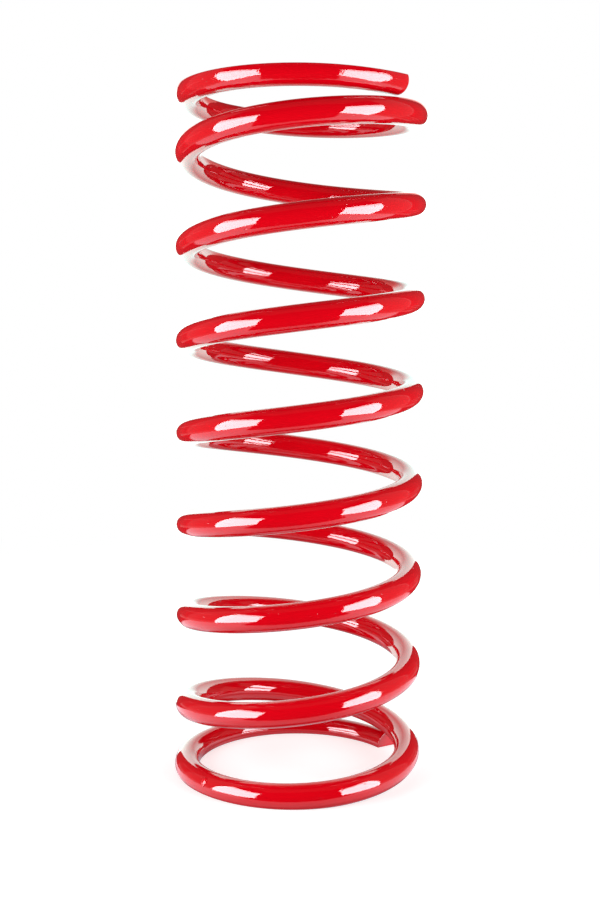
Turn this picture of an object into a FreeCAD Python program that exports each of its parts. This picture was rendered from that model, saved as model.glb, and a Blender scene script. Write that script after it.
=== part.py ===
"""Helical compression spring of heavy round wire, wound right-handed in one piece.

The end coils are closed down towards their neighbours and ground flat, so the spring
stands on one seat and carries on the other.  Its axis is +Z, and the origin is the centre
of the lower ground seat.
"""
import FreeCAD, Part
import math
import os

NODE = "coil_spring"

# Driving sizes: millimetres, with angles in degrees and lengths of coil in turns
SIZES = [
    ("wire_diameter", 13.0, "round wire with its coating"),
    ("mean_coil_diameter", 116.0, "across the wire's centreline"),
    ("free_height", 353.0, "between the two ground seats"),
    ("coil_turns", 8.8063, "from tip to tip"),
    ("start_bearing", 32.4, "direction of the lower tip from +X, seen from above"),
    ("lower_ground_share", 0.387, "share of the wire's depth ground off at the lower tip"),
    ("upper_ground_share", 0.298, "share of the wire's depth ground off at the upper tip"),
    ("lower_tip_gap", 1.2, "clear height between the lower tip and the coil over it"),
    ("upper_tip_gap", 0.9, "clear height between the upper tip and the coil under it"),
    ("lower_closed_pitch", 4.5, "rise of one turn where the lower end is closed"),
    ("upper_closed_pitch", 1.2, "rise of one turn where the upper end is closed"),
    ("lower_ramp_turns", 0.44, "coil over which the closed lower end opens out"),
    ("upper_ramp_turns", 1.10, "coil over which the upper end closes"),
    ("lower_tip_flare", 2.0, "the lower tip stands this far outside the round"),
    ("upper_end_tuck", 2.8, "the upper end would draw this far inside the round by its tip"),
    ("drift_turns", 1.1, "end coil over which a tip leaves the round"),
    ("upper_tip_swing", 2.7, "its last stretch is straighter, and swings this far out again"),
    ("swing_turns", 0.085, "end coil that is straighter at the upper tip"),
    ("tip_chamfer", 0.6, "taken off the sharp edges of both tip faces"),
]

# The centreline is a smooth curve through this many points on each turn, then redrawn as
# tangent arcs that stay this close to it, so that every stretch of wire is a true ring segment
POINTS_PER_TURN = 24
ARC_TOLERANCE = 0.05

doc = FreeCAD.newDocument("helical_spring")


def make_sheet():
    """Put the driving sizes into a spreadsheet, one named cell each."""
    cells = doc.addObject("Spreadsheet::Sheet", "sizes")
    for row, (alias, value, note) in enumerate(SIZES, start=1):
        cells.set(f"A{row}", alias.replace("_", " "))
        cells.set(f"B{row}", str(value))
        cells.set(f"C{row}", note)
        cells.setAlias(f"B{row}", alias)
    doc.recompute()
    return cells


sheet = make_sheet()


class End:
    """One end of the coil: a closed part, a ramp, then the open pitch, counted from its tip."""

    def __init__(self, side):
        self.closed_pitch = sheet.get(f"{side}_closed_pitch")
        self.ramp_turns = sheet.get(f"{side}_ramp_turns")
        self.tip_height = sheet.wire_diameter * (0.5 - sheet.get(f"{side}_ground_share"))
        self.first_turn_rise = sheet.wire_diameter + sheet.get(f"{side}_tip_gap")

    def closed_turns(self, open_pitch):
        """Length of the closed part that leaves the stated gap one turn from the tip."""
        steepening = open_pitch - self.closed_pitch
        extra_rise = self.first_turn_rise - self.closed_pitch
        opened = math.sqrt(2 * self.ramp_turns * extra_rise / steepening)
        if opened > self.ramp_turns:
            opened = extra_rise / steepening + self.ramp_turns / 2
        return 1 - opened

    def height(self, turns, open_pitch):
        """Distance from the ground seat to the centreline, so many turns from the tip."""
        past = turns - self.closed_turns(open_pitch)
        steepening = open_pitch - self.closed_pitch
        on_ramp = min(max(past, 0), self.ramp_turns)
        opened = steepening * on_ramp**2 / (2 * self.ramp_turns)
        opened += steepening * max(past - self.ramp_turns, 0)
        return self.tip_height + self.closed_pitch * turns + opened


LOWER = End("lower")
UPPER = End("upper")


def find_open_pitch():
    """The pitch of the working coils that brings the two ends together at half the coil."""
    half = sheet.coil_turns / 2
    pitch = sheet.free_height / sheet.coil_turns
    for _ in range(40):
        reached = LOWER.height(half, pitch) + UPPER.height(half, pitch)
        pitch += (sheet.free_height - reached) / sheet.coil_turns
    return pitch


def centreline_point(turns, open_pitch):
    """Centre of the wire at a number of turns above the lower tip."""
    left = sheet.coil_turns - turns
    if turns < left:
        height = LOWER.height(turns, open_pitch)
    else:
        height = sheet.free_height - UPPER.height(left, open_pitch)
    flare = sheet.lower_tip_flare * max(1 - turns / sheet.drift_turns, 0) ** 3
    tuck = sheet.upper_end_tuck * max(1 - left / sheet.drift_turns, 0) ** 3
    swing = sheet.upper_tip_swing * max(1 - left / sheet.swing_turns, 0) ** 2
    radius = sheet.mean_coil_diameter / 2 + flare - tuck + swing
    bearing = math.radians(sheet.start_bearing + 360 * turns)
    return FreeCAD.Vector(radius * math.cos(bearing), radius * math.sin(bearing), height)


def make_centreline():
    """The wire's centreline from the lower tip to the upper tip, as a chain of tangent arcs."""
    open_pitch = find_open_pitch()
    spans = round(sheet.coil_turns * POINTS_PER_TURN)
    step = sheet.coil_turns / spans
    points = [centreline_point(index * step, open_pitch) for index in range(spans + 1)]
    curve = Part.BSplineCurve()
    curve.interpolate(Points=points)
    arcs = [arc.toShape() for arc in curve.toBiArcs(ARC_TOLERANCE)]
    feature = doc.addObject("Part::Feature", "centreline")
    feature.Shape = Part.Wire(arcs)
    print(f"open pitch {open_pitch:.2f} mm, wire {feature.Shape.Length:.0f} mm in {len(arcs)} arcs")
    return feature


def make_wire(centreline):
    """Round wire along the centreline, with its tips cut off square."""
    section = doc.addObject("Part::Circle", "wire_section")
    section.setExpression("Radius", "sizes.wire_diameter / 2")
    section.AttachmentSupport = [(centreline, "Edge1")]
    section.MapMode = "NormalToEdge"
    section.MapPathParameter = 0
    wire = doc.addObject("Part::Sweep", "wound_wire")
    wire.Sections = [section]
    wire.Spine = (centreline, [f"Edge{number + 1}" for number in range(len(centreline.Shape.Edges))])
    wire.Solid = True
    wire.Frenet = True
    return wire


def grind_ends(wire):
    """Keep what lies between the two grinding planes, square to the axis."""
    between = doc.addObject("Part::Cylinder", "between_grinding_planes")
    between.setExpression(
        "Radius", "sizes.mean_coil_diameter / 2 + sizes.lower_tip_flare + sizes.wire_diameter"
    )
    between.setExpression("Height", "sizes.free_height")
    ground = doc.addObject("Part::MultiCommon", "ground_spring")
    ground.Shapes = [wire, between]
    return ground


def tip_edges(shape):
    """Numbers of the edges round the two tip faces, the only flat faces that stand upright."""
    numbers = []
    for face in shape.Faces:
        flat = face.Surface.TypeId == "Part::GeomPlane"
        if flat and abs(face.normalAt(0, 0).z) < 0.5:
            numbers += [index + 1 for index, edge in enumerate(shape.Edges)
                        if any(edge.isSame(other) for other in face.Edges)]
    return numbers


def deburr_tips(ground):
    """Break the sharp edges that cutting and grinding leave at the tips."""
    doc.recompute()
    width = sheet.tip_chamfer
    spring = doc.addObject("Part::Chamfer", NODE)
    spring.Label = NODE
    spring.Base = ground
    spring.Edges = [(number, width, width) for number in tip_edges(ground.Shape)]
    return spring


def check_and_export(spring):
    """Stop on any failed feature or unsound solid, then write the part's file."""
    doc.recompute()
    for item in doc.Objects:
        if "Invalid" in item.State or "Error" in item.State:
            raise SystemExit(f"{item.Name} did not build: {item.State}")
    shape = spring.Shape
    if shape.isNull() or not shape.isValid() or len(shape.Solids) != 1:
        raise SystemExit(f"{spring.Label} is not one sound solid")
    os.makedirs("parts", exist_ok=True)
    shape.exportStep(f"parts/{spring.Label}.step")
    box = shape.optimalBoundingBox(False)
    print(f"{spring.Label}: {shape.Volume / 1000:.1f} cm3, faces {len(shape.Faces)}")
    print(f"x {box.XMin:.2f} {box.XMax:.2f}, y {box.YMin:.2f} {box.YMax:.2f}, z {box.ZMin:.2f} {box.ZMax:.2f}")


wound_wire = make_wire(make_centreline())
check_and_export(deburr_tips(grind_ends(wound_wire)))
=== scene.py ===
"""Looks of a helical compression spring with a gloss red coating, standing in a pale studio."""
import bmesh
import bpy
import math
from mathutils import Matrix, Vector


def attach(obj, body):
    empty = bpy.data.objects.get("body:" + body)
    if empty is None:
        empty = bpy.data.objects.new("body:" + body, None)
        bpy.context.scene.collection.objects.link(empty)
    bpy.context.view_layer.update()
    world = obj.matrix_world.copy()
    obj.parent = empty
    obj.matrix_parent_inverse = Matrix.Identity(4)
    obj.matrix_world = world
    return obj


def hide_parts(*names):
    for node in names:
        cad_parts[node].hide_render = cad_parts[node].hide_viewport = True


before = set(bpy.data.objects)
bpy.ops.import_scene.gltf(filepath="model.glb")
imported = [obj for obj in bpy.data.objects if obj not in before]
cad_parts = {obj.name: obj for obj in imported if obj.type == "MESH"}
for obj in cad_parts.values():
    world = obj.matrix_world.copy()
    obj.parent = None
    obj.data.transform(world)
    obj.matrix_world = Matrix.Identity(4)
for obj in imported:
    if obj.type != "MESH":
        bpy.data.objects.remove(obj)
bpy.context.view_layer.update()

# Red coating
# A gloss powder coat over the whole wire, about a tenth of a millimetre thick.
# It is sprayed on and baked after grinding, so it rounds the ground edges and covers the seats.

class Number:
    """A number in a node tree, so that sums on it are written as plain Python."""

    def __init__(self, book, socket):
        self.book, self.socket = book, socket

    def calc(self, operation, *others):
        values = dict(enumerate((self, *others)))
        node = self.book.node("ShaderNodeMath", {"operation": operation}, values)
        return Number(self.book, node.outputs[0])

    def __add__(self, other): return self.calc("ADD", other)
    def __sub__(self, other): return self.calc("SUBTRACT", other)
    def __mul__(self, other): return self.calc("MULTIPLY", other)
    def __truediv__(self, other): return self.calc("DIVIDE", other)
    def __pow__(self, other): return self.calc("POWER", other)
    def __neg__(self): return self.calc("MULTIPLY", -1.0)
    def __radd__(self, other): return self.calc("ADD", other)
    def __rmul__(self, other): return self.calc("MULTIPLY", other)
    def __rsub__(self, other): return (-self).calc("ADD", other)
    def __rtruediv__(self, other): return self.calc("POWER", -1.0).calc("MULTIPLY", other)

    def at_least(self, other): return self.calc("MAXIMUM", other)
    def at_most(self, other): return self.calc("MINIMUM", other)
    def sin(self): return self.calc("SINE")
    def cos(self): return self.calc("COSINE")

    def step(self, start, end):
        """Goes smoothly from 0 at start to 1 at end."""
        node = self.book.node("ShaderNodeMapRange", {"interpolation_type": "SMOOTHSTEP"},
                              {0: self, 1: start, 2: end, 3: 0.0, 4: 1.0})
        return Number(self.book, node.outputs[0])


class Book:
    """A node tree that is being written."""

    def __init__(self, tree):
        self.tree = tree
        tree.nodes.clear()

    def node(self, kind, settings=None, sockets=None):
        """Adds a node, with its settings made first and then its sockets set or linked."""
        node = self.tree.nodes.new(kind)
        for name, value in (settings or {}).items():
            setattr(node, name, value)
        for name, value in (sockets or {}).items():
            if isinstance(value, Number):
                self.tree.links.new(value.socket, node.inputs[name])
            elif isinstance(value, bpy.types.NodeSocket):
                self.tree.links.new(value, node.inputs[name])
            else:
                node.inputs[name].default_value = value
        return node

    def number(self, *args):
        return Number(self, self.node(*args).outputs[0])


LIGHT_RED = (0.72, 0.0006, 0.0075, 1.0)
DARK_RED = (0.68, 0.0005, 0.0065, 1.0)
WHEEL_SHIFT = (0.16, 0.05, 0.0)
GLOSS_ROUGHNESS = 0.055
TOP_COIL_ROUGHNESS = 0.02
SEAT_ROUGHNESS = 0.12
RELIEF_DEPTH = 0.00004


def grinder_place(book, place):
    """Coordinates whose middle is the grinding wheel's, beside the spring."""
    shifted = book.node("ShaderNodeMapping", None, {"Vector": place, "Location": WHEEL_SHIFT})
    return shifted.outputs[0]


def noise(book, place, scale, detail):
    """Soft noise, from 0 to 1, with so many patches to the metre."""
    return book.number("ShaderNodeTexNoise", None, {
        "Vector": place, "Scale": scale, "Detail": detail})


def red_coating():
    """Gloss red, with a fine orange peel, a rougher top coil, and pits where dust burst."""
    material = bpy.data.materials.new("red_coating")
    material.use_nodes = True
    book = Book(material.node_tree)
    place = book.node("ShaderNodeTexCoord").outputs["Object"]
    parts = book.node("ShaderNodeSeparateXYZ", None, {0: place}).outputs
    depth, height = Number(book, parts["Y"]), Number(book, parts["Z"])

    drift = noise(book, place, 16.0, 2.0)
    pigment = book.node("ShaderNodeMix", {"data_type": "RGBA"}, {
        "Factor": drift.step(0.3, 0.7),
        6: LIGHT_RED,
        7: DARK_RED,
    }).outputs[2]

    waves = noise(book, place, 90.0, 1.0)
    peel = noise(book, place, 330.0, 1.5)
    fine = noise(book, place, 620.0, 2.0)
    top_coil = height.step(0.332, 0.347) * (1 - depth.step(-0.025, 0.0))
    pits = book.number("ShaderNodeTexVoronoi", {"feature": "F1"}, {
        "Vector": place, "Scale": 300.0})
    rare = noise(book, place, 40.0, 0.0)
    pits = (1.0 - pits.step(0.06, 0.13)) * rare.step(0.52, 0.56)
    seat_value = book.node("ShaderNodeAttribute", {"attribute_name": "seat"})
    seat = Number(book, seat_value.outputs["Fac"])
    marks = book.number("ShaderNodeTexWave", {"wave_type": "RINGS", "rings_direction": "Z"}, {
        "Vector": grinder_place(book, place), "Scale": 260.0, "Distortion": 1.5, "Detail": 2.0,
        "Detail Scale": 3.0})

    relief = waves * 0.5 + peel * (0.07 + 2.2 * top_coil) + fine * 0.44 * top_coil
    relief = relief - 1.2 * pits + 0.25 * seat * marks
    bump = book.node("ShaderNodeBump", None, {
        "Strength": 1.0, "Distance": RELIEF_DEPTH, "Height": relief})

    gloss = book.node("ShaderNodeBsdfPrincipled", None, {
        "Base Color": pigment,
        "Roughness": GLOSS_ROUGHNESS + TOP_COIL_ROUGHNESS * top_coil + SEAT_ROUGHNESS * seat,
        "IOR": 1.54,
        "Normal": bump.outputs[0],
    })
    book.node("ShaderNodeOutputMaterial", None, {"Surface": gloss.outputs[0]})
    return material


coating = red_coating()

# Spring wire
# One length of 13 mm spring steel wire, wound right-handed over an arbor.
# The end turns are closed against their neighbours, and both ends are ground flat by a disc.

WIRE = 0.0130
COIL = 0.116
HEIGHT = 0.353
TURNS = 8.8063
LOWER = {"ground": 0.387, "gap": 0.0012, "closed": 0.0045, "ramp": 0.44, "drift": 0.0020}
UPPER = {"ground": 0.298, "gap": 0.0009, "closed": 0.0012, "ramp": 1.10, "drift": -0.0028}


def closed_turns(end, pitch):
    """Length of the closed part that leaves the end's gap one turn from its tip."""
    steeper, extra = pitch - end["closed"], WIRE + end["gap"] - end["closed"]
    opened = math.sqrt(2 * end["ramp"] * extra / steeper)
    return 1 - (opened if opened <= end["ramp"] else extra / steeper + end["ramp"] / 2)


def rise(end, turns, pitch):
    """Height of the wire's centre over the end's seat, so many turns from its tip."""
    past = turns - closed_turns(end, pitch)
    ramp = min(max(past, 0), end["ramp"])
    opened = ramp**2 / (2 * end["ramp"]) + max(past - end["ramp"], 0)
    return WIRE * (0.5 - end["ground"]) + end["closed"] * turns + (pitch - end["closed"]) * opened


def working_pitch():
    """Pitch of the open coils that brings both ends together at mid height."""
    pitch = HEIGHT / TURNS
    for _ in range(40):
        pitch += (HEIGHT - rise(LOWER, TURNS / 2, pitch) - rise(UPPER, TURNS / 2, pitch)) / TURNS
    return pitch


PITCH = working_pitch()
WIRE_SIZES = {
    "Wire Diameter": WIRE,
    "Mean Coil Diameter": COIL,
    "Free Height": HEIGHT,
    "Coil Turns": TURNS,
    "Open Pitch": PITCH,
    "Start Bearing": math.radians(32.4),
    "Drift Turns": 1.1,
    "Upper Tip Swing": 0.0027,
    "Swing Turns": 0.085,
    "Tip Rounding": 0.0004,
    "Ground Edge Rounding": 0.0006,
    "Rows Along": 1000,
    "Points Around": 96,
}
for side, end in (("Lower", LOWER), ("Upper", UPPER)):
    WIRE_SIZES[f"{side} Tip Height"] = WIRE * (0.5 - end["ground"])
    WIRE_SIZES[f"{side} Closed Pitch"] = end["closed"]
    WIRE_SIZES[f"{side} Closed Turns"] = closed_turns(end, PITCH)
    WIRE_SIZES[f"{side} Ramp Turns"] = end["ramp"]
    WIRE_SIZES[f"{side} Tip Drift"] = end["drift"]


# Rows of points at each tip: some lie on its flat face, and the rest round its edge
TIP_FACE_ROWS = 2
TIP_ROWS = 5
SEAT_DEPTH = 0.0002
SEAM = 2e-6


def wound_wire_tree(material):
    """A grid of rows along the wire and points round it, wrapped onto the coil."""
    tree = bpy.data.node_groups.new("wound_wire", "GeometryNodeTree")
    tree.interface.new_socket("Geometry", in_out="OUTPUT", socket_type="NodeSocketGeometry")
    for name, value in WIRE_SIZES.items():
        kind = "NodeSocketInt" if isinstance(value, int) else "NodeSocketFloat"
        tree.interface.new_socket(name, in_out="INPUT", socket_type=kind)
    book = Book(tree)
    given = book.node("NodeGroupInput").outputs
    size = {name: Number(book, given[name]) for name in WIRE_SIZES}
    around, rows = size["Points Around"], size["Rows Along"]
    radius, coil = size["Wire Diameter"] / 2, size["Mean Coil Diameter"] / 2
    full_turns, rounding = size["Coil Turns"], size["Tip Rounding"]

    grid = book.node("GeometryNodeMeshGrid", None, {
        "Vertices X": rows + 1, "Vertices Y": around + 1})
    index = book.number("GeometryNodeInputIndex")
    row = (index / (around + 1) + 1e-4).calc("FLOOR")
    angle = (index - row * (around + 1)) * (2 * math.pi) / around

    def tip_row(rows_in):
        """Inset and setback of a row near a tip, first on the flat face, then round its edge."""
        past_face = (rows_in.at_most(TIP_ROWS) - TIP_FACE_ROWS).at_least(0)
        bend = past_face * (math.pi / 2 / (TIP_ROWS - TIP_FACE_ROWS))
        return rounding * (1 - bend.sin()), rounding * (1 - bend.cos())

    lower_inset, lower_setback = tip_row(row)
    upper_inset, upper_setback = tip_row(rows - row)
    inset = lower_inset + upper_inset
    shrink = (row.at_most(rows - row) / TIP_FACE_ROWS).at_most(1)
    one_turn = math.pi * size["Mean Coil Diameter"]
    edge_turns = rounding / one_turn
    wall = ((row - TIP_ROWS) / (rows - 2 * TIP_ROWS)).at_least(0).at_most(1)
    turns = (lower_setback - upper_setback) / one_turn + edge_turns
    turns = turns + wall * (full_turns - 2 * edge_turns)
    left = full_turns - turns

    def seat_rise(side, away):
        """Height over the seat and rise per turn, some turns away from the tip."""
        past = away - size[f"{side} Closed Turns"]
        steeper = size["Open Pitch"] - size[f"{side} Closed Pitch"]
        ramp_turns = size[f"{side} Ramp Turns"]
        ramp = past.at_least(0).at_most(ramp_turns)
        opened = ramp * ramp / (2 * ramp_turns) + (past - ramp_turns).at_least(0)
        height = size[f"{side} Tip Height"] + size[f"{side} Closed Pitch"] * away + steeper * opened
        return height, size[f"{side} Closed Pitch"] + steeper * ramp / ramp_turns

    low_height, low_climb = seat_rise("Lower", turns)
    high_height, high_climb = seat_rise("Upper", left)
    upper = turns.calc("GREATER_THAN", full_turns / 2)
    level = low_height * (1 - upper) + (size["Free Height"] - high_height) * upper
    climb = (low_climb * (1 - upper) + high_climb * upper) / one_turn
    lean = climb.calc("ARCTANGENT")

    near_low = (1 - turns / size["Drift Turns"]).at_least(0)
    near_high = (1 - left / size["Drift Turns"]).at_least(0)
    reach = coil + size["Lower Tip Drift"] * near_low**3 + size["Upper Tip Drift"] * near_high**3
    reach = reach + size["Upper Tip Swing"] * (1 - left / size["Swing Turns"]).at_least(0) ** 2
    bearing = size["Start Bearing"] + turns * (2 * math.pi)

    out = (radius - inset) * angle.cos()
    up = (radius - inset) * angle.sin()
    under = (inset - level) / lean.cos()
    over = (size["Free Height"] - level - inset) / lean.cos()
    edge = size["Ground Edge Rounding"]
    ground = up.calc("SMOOTH_MAX", under, edge).calc("SMOOTH_MIN", over, edge)
    out, up_ground = out * shrink, ground * shrink

    across = reach + out
    place = book.node("ShaderNodeCombineXYZ", None, {
        "X": across * bearing.cos() + up_ground * lean.sin() * bearing.sin(),
        "Y": across * bearing.sin() - up_ground * lean.sin() * bearing.cos(),
        "Z": level + up_ground * lean.cos(),
    }).outputs[0]

    mesh = book.node("GeometryNodeSetPosition", None, {
        "Geometry": grid.outputs["Mesh"], "Position": place})
    seat = ((ground - up).calc("ABSOLUTE") / SEAT_DEPTH).at_most(1)
    mesh = book.node("GeometryNodeStoreNamedAttribute", {"data_type": "FLOAT", "domain": "POINT"}, {
        "Geometry": mesh.outputs[0], "Name": "seat", "Value": seat})
    mesh = book.node("GeometryNodeMergeByDistance", None, {
        "Geometry": mesh.outputs[0], "Distance": SEAM})
    mesh = book.node("GeometryNodeSetShadeSmooth", None, {"Geometry": mesh.outputs[0]})
    mesh = book.node("GeometryNodeRealizeInstances", None, {"Geometry": mesh.outputs[0]})
    mesh = book.node("GeometryNodeSetMaterial", None, {
        "Geometry": mesh.outputs[0], "Material": material})
    book.node("NodeGroupOutput", None, {0: mesh.outputs[0]})
    return tree


def made_by(tree, name, sizes):
    """A plain mesh object from a Geometry Nodes tree, with its named sizes set first."""
    piece = bpy.data.objects.new(name, bpy.data.meshes.new(name))
    bpy.context.scene.collection.objects.link(piece)
    maker = piece.modifiers.new("maker", "NODES")
    maker.node_group = tree
    for item in tree.interface.items_tree:
        if item.in_out == "INPUT" and item.name in sizes:
            maker[item.identifier] = sizes[item.name]
    bpy.context.view_layer.update()
    shape = piece.evaluated_get(bpy.context.evaluated_depsgraph_get())
    mesh = bpy.data.meshes.new_from_object(shape)
    piece.modifiers.clear()
    piece.data = mesh
    mesh.name = name
    return piece


spring_wire = made_by(wound_wire_tree(coating), "spring_wire", WIRE_SIZES)
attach(spring_wire, "root")
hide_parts("coil_spring")

# Coating nib
# A small drop of the coating that ran together and set, low on the front of the bottom coil.
# It is the same red coating, baked on with it, but it set duller.
NIB = {
    "turns": 0.5298,
    "around": math.radians(29.4),
    "along": 0.0019,
    "across": 0.0022,
    "out": 0.0006,
    "dullness": 2.0,
}

bearing = WIRE_SIZES["Start Bearing"] + 2 * math.pi * NIB["turns"]
radial = Vector((math.cos(bearing), math.sin(bearing), 0))
along = Vector((-math.sin(bearing), math.cos(bearing), 0))
out = radial * math.cos(NIB["around"]) + Vector((0, 0, 1)) * math.sin(NIB["around"])
across = out.cross(along)
flare = LOWER["drift"] * (1 - NIB["turns"] / WIRE_SIZES["Drift Turns"]) ** 3
centre = radial * (COIL / 2 + flare) + Vector((0, 0, rise(LOWER, NIB["turns"], PITCH)))

drop = bmesh.new()
bmesh.ops.create_icosphere(drop, subdivisions=4, radius=1.0)
for corner in drop.verts:
    x, y, z = corner.co
    lump = 1 + 0.12 * math.sin(3.1 * x + 0.7) + 0.10 * math.sin(4.3 * y + 2.0 * x)
    swell = NIB["out"] * z * (lump if z > 0 else 0.8)
    sag = (NIB["across"] * y) ** 2 / WIRE
    x = x * lump - 0.3 * max(z, 0)
    corner.co = (centre + out * (WIRE / 2 + swell - sag) + along * NIB["along"] * x
                 + across * NIB["across"] * y * (1 + 0.2 * math.sin(2.0 * x + 1.0)))
bmesh.ops.recalc_face_normals(drop, faces=drop.faces)
for face in drop.faces:
    face.smooth = True
nib_mesh = bpy.data.meshes.new("coating_nib")
drop.to_mesh(nib_mesh)
drop.free()
nib_mesh.materials.append(coating)
dullness = nib_mesh.attributes.new("seat", "FLOAT", "POINT")
dullness.data.foreach_set("value", [NIB["dullness"]] * len(nib_mesh.vertices))
coating_nib = bpy.data.objects.new("coating_nib", nib_mesh)
bpy.context.scene.collection.objects.link(coating_nib)
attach(coating_nib, "root")

# Studio
# White paper on a table, a white board behind, and two tall softboxes in front, left and right.
# The shiny coating mirrors what stands round it, so those cards glow for reflections only and light
# nothing; the shade on them and the spring's shadow on the table are painted into that glow.
SOFTBOX_LIGHT = 18.0
SOFTBOX_TOP_LOSS = 9.0
BOARD_MIDDLE_LIGHT = 1.2
BOARD_RISE_PER_METRE = 15.5
BOARD_TOP_LOSS = 0.55
BOARD_FADE = (0.37, 0.47)


def card(name, corners, material, reflections_only=True):
    """A flat stage card through four corners."""
    mesh = bpy.data.meshes.new(name)
    mesh.from_pydata(corners, [], [tuple(range(len(corners)))])
    mesh.materials.append(material)
    thing = bpy.data.objects.new(name, mesh)
    bpy.context.scene.collection.objects.link(thing)
    if reflections_only:
        thing.visible_camera = False
        thing.visible_diffuse = False
        thing.visible_glossy = True
        thing.visible_transmission = False
        thing.visible_volume_scatter = False
        thing.visible_shadow = False
    return thing


def glow(name, colour, strength, side_colour=None, top_colour=None):
    """A card's own light, which lights nothing; its strength is a rule on x, y and z."""
    material = bpy.data.materials.new(name)
    material.use_nodes = True
    book = Book(material.node_tree)
    place = book.node("ShaderNodeTexCoord").outputs["Object"]
    parts = book.node("ShaderNodeSeparateXYZ", None, {0: place}).outputs
    x, y, z = (Number(book, part) for part in parts)
    tint = book.node("ShaderNodeMix", {"data_type": "RGBA"}, {
        "Factor": x.calc("ABSOLUTE").step(-0.05, 0.13),
        6: (*colour, 1.0),
        7: (*(side_colour or colour), 1.0),
    })
    tint = book.node("ShaderNodeMix", {"data_type": "RGBA"}, {
        "Factor": z.step(*BOARD_FADE),
        6: tint.outputs[2],
        7: (*(top_colour or colour), 1.0),
    })
    bounces = Number(book, book.node("ShaderNodeLightPath").outputs["Diffuse Depth"])
    direct = 1 - bounces.at_most(1)
    light = book.node("ShaderNodeEmission", None, {
        "Color": tint.outputs[2], "Strength": direct * strength(x, y, z)})
    book.node("ShaderNodeOutputMaterial", None, {"Surface": light.outputs[0]})
    material.cycles.emission_sampling = "NONE"
    return material


def standing(name, start, end, low, high, colour, strength):
    """A glowing card that stands between two points of the floor plan."""
    corners = [(*start, low), (*end, low), (*end, high), (*start, high)]
    return card(name, corners, glow(name, colour, strength))


def line(distance, width):
    """1 on a line and 0 beside it, from the distance to the line's middle."""
    return 1 - distance.calc("ABSOLUTE").step(width * 0.4, width)


def softbox(x, y, z):
    """Even white, a little weaker towards the top."""
    return SOFTBOX_LIGHT - SOFTBOX_TOP_LOSS * z.step(0.40, 0.56)


def board(x, y, z):
    """Painted reflection glow: brighter at both sides, and weaker towards the top; its tint is set
    where the card is made.
    """
    level = BOARD_MIDDLE_LIGHT + BOARD_RISE_PER_METRE * x.calc("ABSOLUTE")
    return level * (1 - BOARD_TOP_LOSS * z.step(*BOARD_FADE))


def left_wall(x, y, z):
    """Painted reflection: grey, darker to the back, brighter near the floor, with a painted bright
    line that the coating mirrors as a light streak.
    """
    # Painted highlight line in the glow, mirrored in the coating as a streak.
    edge = line(z - (0.365 - 0.19 * y), 0.008) * y.step(0.02, 0.03)
    return 0.33 - 0.2 * y.step(0.26, 0.32) + 0.35 * (1 - z.step(-0.03, 0.07)) + 0.6 * edge


def right_wall(x, y, z):
    """Painted reflection: grey, darker to the back, brighter near the floor, with three painted
    bright lines that the coating mirrors as light streaks.
    """
    # Painted highlight lines in the glow, mirrored in the coating as streaks.
    edges = line(y - 0.21, 0.009) * z.step(0.16, 0.17)
    edges = edges + line(z - 0.162, 0.007) * y.step(0.20, 0.21)
    edges = edges + line(z - 0.10, 0.007) * y.step(0.0, 0.02)
    return 0.35 - 0.23 * y.step(0.20, 0.25) + 0.35 * (1 - z.step(-0.03, 0.07)) + 0.5 * edges


def table(x, y, z):
    """Painted reflection of the floor below: white, brightest at the sides, dark before and behind,
    darker behind the middle, with the spring's ring of shadow painted in.
    """
    side = x.calc("ABSOLUTE")
    front = (-y - 1.6 * (side - 0.20).at_least(0)).step(0.170, 0.188)
    back = y.step(0.22, 0.26)
    # Painted shade: the glow is darker just behind the middle.
    shade = 0.55 * y.step(0.08, 0.12) * (1 - side.step(0.12, 0.16))
    lit = (0.98 + 0.85 * side.step(0.05, 0.20)) * (1 - shade)
    # Painted shadow: the spring's ring of shadow, about 75 mm round the middle, painted into the
    # glow.
    off = ((x * x + (y - 0.02) * (y - 0.02)) ** 0.5 - 0.075).calc("ABSOLUTE")
    lit = lit * (0.35 + 0.65 * off.step(0.010, 0.035))
    gloom = 0.08 + 0.3 * (1 - side.step(0.12, 0.18))
    return (lit * (1 - front) + 0.03 * front) * (1 - back) + gloom * back


SOFT_WHITE = (0.96, 0.94, 1.0)
PALE = (1.0, 0.95, 0.94)
DEEP = -0.045
standing("left_softbox", (-0.52, -0.70), (-0.52, -0.117), DEEP, 0.56, SOFT_WHITE, softbox)
standing("right_softbox", (0.495, -0.66), (0.495, -0.150), DEEP, 0.56, SOFT_WHITE, softbox)
board_corners = [(-0.174, 0.29, DEEP), (0.168, 0.29, DEEP), (0.168, 0.29, 0.56), (-0.174, 0.29, 0.56)]
# Painted reflection tint: pale in the middle, cyan at the sides and red at the top, so that the
# board's reflection over the red coating reads pale and neutral at the bends and reddish higher up.
board_glow = glow("background_board", (0.93, 1.0, 0.97), board, (0.60, 1.0, 0.95), (1.0, 0.42, 0.38))
card("background_board", board_corners, board_glow)
standing("left_wall", (-0.53, -0.117), (-0.53, 0.60), -0.1, 1.0, PALE, left_wall)
standing("right_wall", (0.53, -0.150), (0.53, 0.60), -0.1, 1.0, PALE, right_wall)
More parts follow.
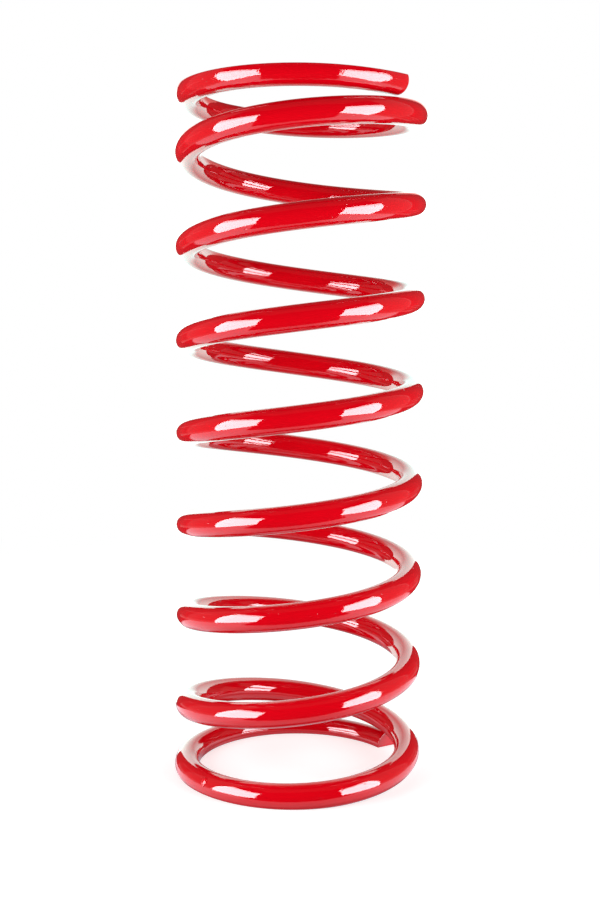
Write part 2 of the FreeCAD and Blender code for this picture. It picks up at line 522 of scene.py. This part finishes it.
# Dim glowing cards that the coating mirrors as a dark room at the back, round the camera side and
# above; they light nothing.
standing("back_wall", (-0.53, 0.60), (0.53, 0.60), -0.1, 1.0, PALE, lambda x, y, z: 0.09)
standing("front_wall", (-0.53, -0.72), (0.53, -0.72), -0.1, 1.0, PALE, lambda x, y, z: 0.025)
standing("left_front_wall", (-0.53, -0.72), (-0.53, -0.117), -0.1, 1.0, PALE, lambda x, y, z: 0.025)
standing("right_front_wall", (0.53, -0.72), (0.53, -0.150), -0.1, 1.0, PALE, lambda x, y, z: 0.025)
card("ceiling", [(-1, -1, 1), (1, -1, 1), (1, 1, 1), (-1, 1, 1)],
     glow("ceiling", PALE, lambda x, y, z: 0.12))
# The table card glows only for reflections, a little under the floor; the shadow on it is painted.
card("table", [(-0.53, -0.72, DEEP), (0.53, -0.72, DEEP), (0.53, 0.6, DEEP), (-0.53, 0.6, DEEP)],
     glow("table", (0.95, 0.90, 1.0), table))


def floor_paper():
    """White paper that keeps the spring's shadow and runs out into the white background."""
    material = bpy.data.materials.new("floor_paper")
    material.use_nodes = True
    book = Book(material.node_tree)
    place = book.node("ShaderNodeTexCoord").outputs["Object"]
    length = book.node("ShaderNodeVectorMath", {"operation": "LENGTH"}, {0: place})
    away = Number(book, length.outputs["Value"])
    seen = Number(book, book.node("ShaderNodeLightPath").outputs["Is Camera Ray"])
    paper = book.node("ShaderNodeBsdfDiffuse", None, {"Color": (0.65, 0.65, 0.65, 1.0)})
    lift = book.node("ShaderNodeEmission", None, {
        "Color": (1.0, 1.0, 1.0, 1.0), "Strength": 0.66 * seen})
    paper = book.node("ShaderNodeAddShader", None, {0: paper.outputs[0], 1: lift.outputs[0]})
    white = book.node("ShaderNodeEmission", None, {"Color": (1.0, 1.0, 1.0, 1.0), "Strength": 1.0})
    mix = book.node("ShaderNodeMixShader", None, {
        0: seen * away.step(0.20, 0.8), 1: paper.outputs[0], 2: white.outputs[0]})
    book.node("ShaderNodeOutputMaterial", None, {"Surface": mix.outputs[0]})
    material.cycles.emission_sampling = "NONE"
    return material


FLOOR = -0.0001
floor = card("floor", [(-3, -3, FLOOR), (3, -3, FLOOR), (3, 3, FLOOR), (-3, 3, FLOOR)],
             floor_paper(), reflections_only=False)
floor.visible_glossy = False

AMBIENT = 0.06
world = bpy.data.worlds.new("studio")
bpy.context.scene.world = world
world.use_nodes = True
sky = Book(world.node_tree)
path = sky.node("ShaderNodeLightPath").outputs
seen = Number(sky, path["Is Camera Ray"]).at_least(Number(sky, path["Is Glossy Ray"]))
seen = seen.at_least(Number(sky, path["Is Transmission Ray"]))
background = sky.node("ShaderNodeBackground", None, {
    "Color": (1.0, 1.0, 1.0, 1.0), "Strength": AMBIENT + (1.0 - AMBIENT) * seen})
sky.node("ShaderNodeOutputWorld", None, {"Surface": background.outputs[0]})


def soft_lamp(name, place, width, height, watts):
    """A rectangular soft lamp aimed at the spring, which reflections don't see."""
    data = bpy.data.lights.new(name, "AREA")
    data.shape, data.size, data.size_y, data.energy = "RECTANGLE", width, height, watts
    lamp = bpy.data.objects.new(name, data)
    bpy.context.scene.collection.objects.link(lamp)
    lamp.location = place
    aim = Vector((0, 0, HEIGHT / 2)) - Vector(place)
    lamp.rotation_euler = aim.to_track_quat("-Z", "Y").to_euler()
    lamp.visible_glossy = False
    lamp.visible_camera = False
    return lamp


soft_lamp("left_lamp", (-0.58, -0.34, 0.26), 0.58, 0.56, 5.2)
soft_lamp("right_lamp", (0.58, -0.34, 0.26), 0.58, 0.56, 5.2)
soft_lamp("back_lamp", (0, 0.75, 0.55), 0.9, 0.6, 3.0)

# Camera
# Placed where the photograph's perspective puts it: 0.63 m in front and a little above half height,
# looking down by 5 degrees.
sight = bpy.data.cameras.new("camera")
sight.sensor_width, sight.sensor_fit, sight.lens = 36.0, "AUTO", 48.571
camera = bpy.data.objects.new("camera", sight)
bpy.context.scene.collection.objects.link(camera)
camera.location = (-0.00378, -0.63164, 0.22486)
camera.rotation_euler = (math.radians(84.968), math.radians(-0.362), math.radians(-0.344))
sight.clip_start, sight.clip_end = 0.01, 20.0
bpy.context.scene.camera = camera

bpy.context.scene.view_settings.view_transform = "Standard"
